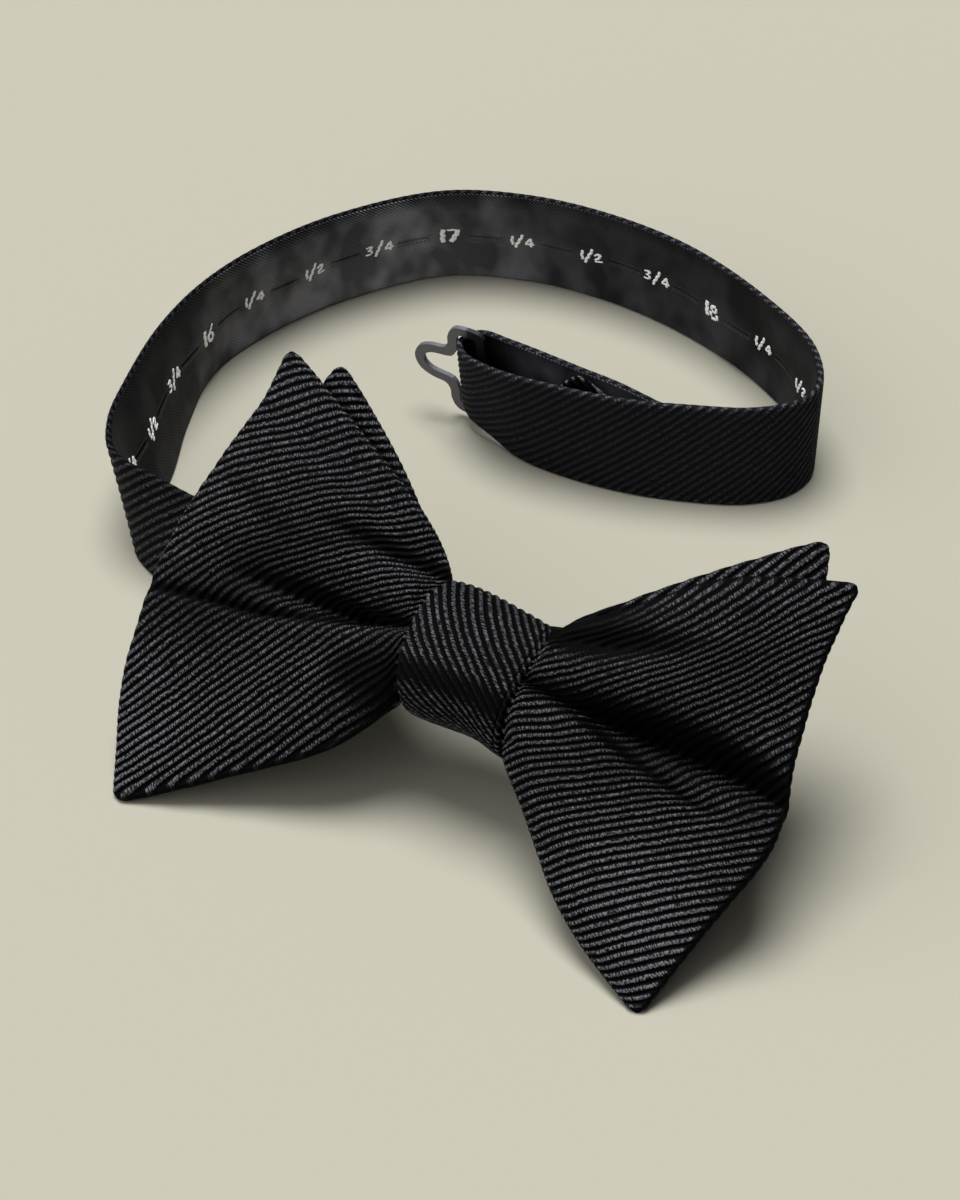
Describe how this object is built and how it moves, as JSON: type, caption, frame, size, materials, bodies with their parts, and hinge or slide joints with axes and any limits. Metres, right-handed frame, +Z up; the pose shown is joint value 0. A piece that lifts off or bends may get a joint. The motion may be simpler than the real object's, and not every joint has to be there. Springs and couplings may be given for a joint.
{
  "type": "pre-tied bow tie",
  "caption": "Pre-tied butterfly bow tie of black ribbed silk, lying with its adjustable neck strap looped behind the bow and folded through a flat metal eye.",
  "frame": {"origin": "middle of the underside of the whole, on the surface that it lies on", "axes": "+Z up, the bow's face looks towards -Y and up, and the neck strap loops behind it towards +Y"},
  "size_m": [0.1414, 0.1482, 0.0442],
  "materials": {
    "ribbed_silk": "black diagonal ribbed silk with a soft sheen on each rib",
    "lining_satin": "black satin lining tape with a fine twill",
    "mark_thread": "white thread of the woven size marks",
    "gunmetal": "smooth dark gunmetal plating"
  },
  "bodies": {
    "root": {"left_wing_front": "ribbed_silk", "left_wing_back": "ribbed_silk", "right_wing_front": "ribbed_silk", "right_wing_back": "ribbed_silk", "knot_wrap": "ribbed_silk", "neck_strap": "ribbed_silk", "end_tab": "ribbed_silk", "size_tape": "lining_satin", "eye_plate": "gunmetal", "slot_hook": "gunmetal", "stub_hook": "gunmetal"}
  },
  "joints": []
}
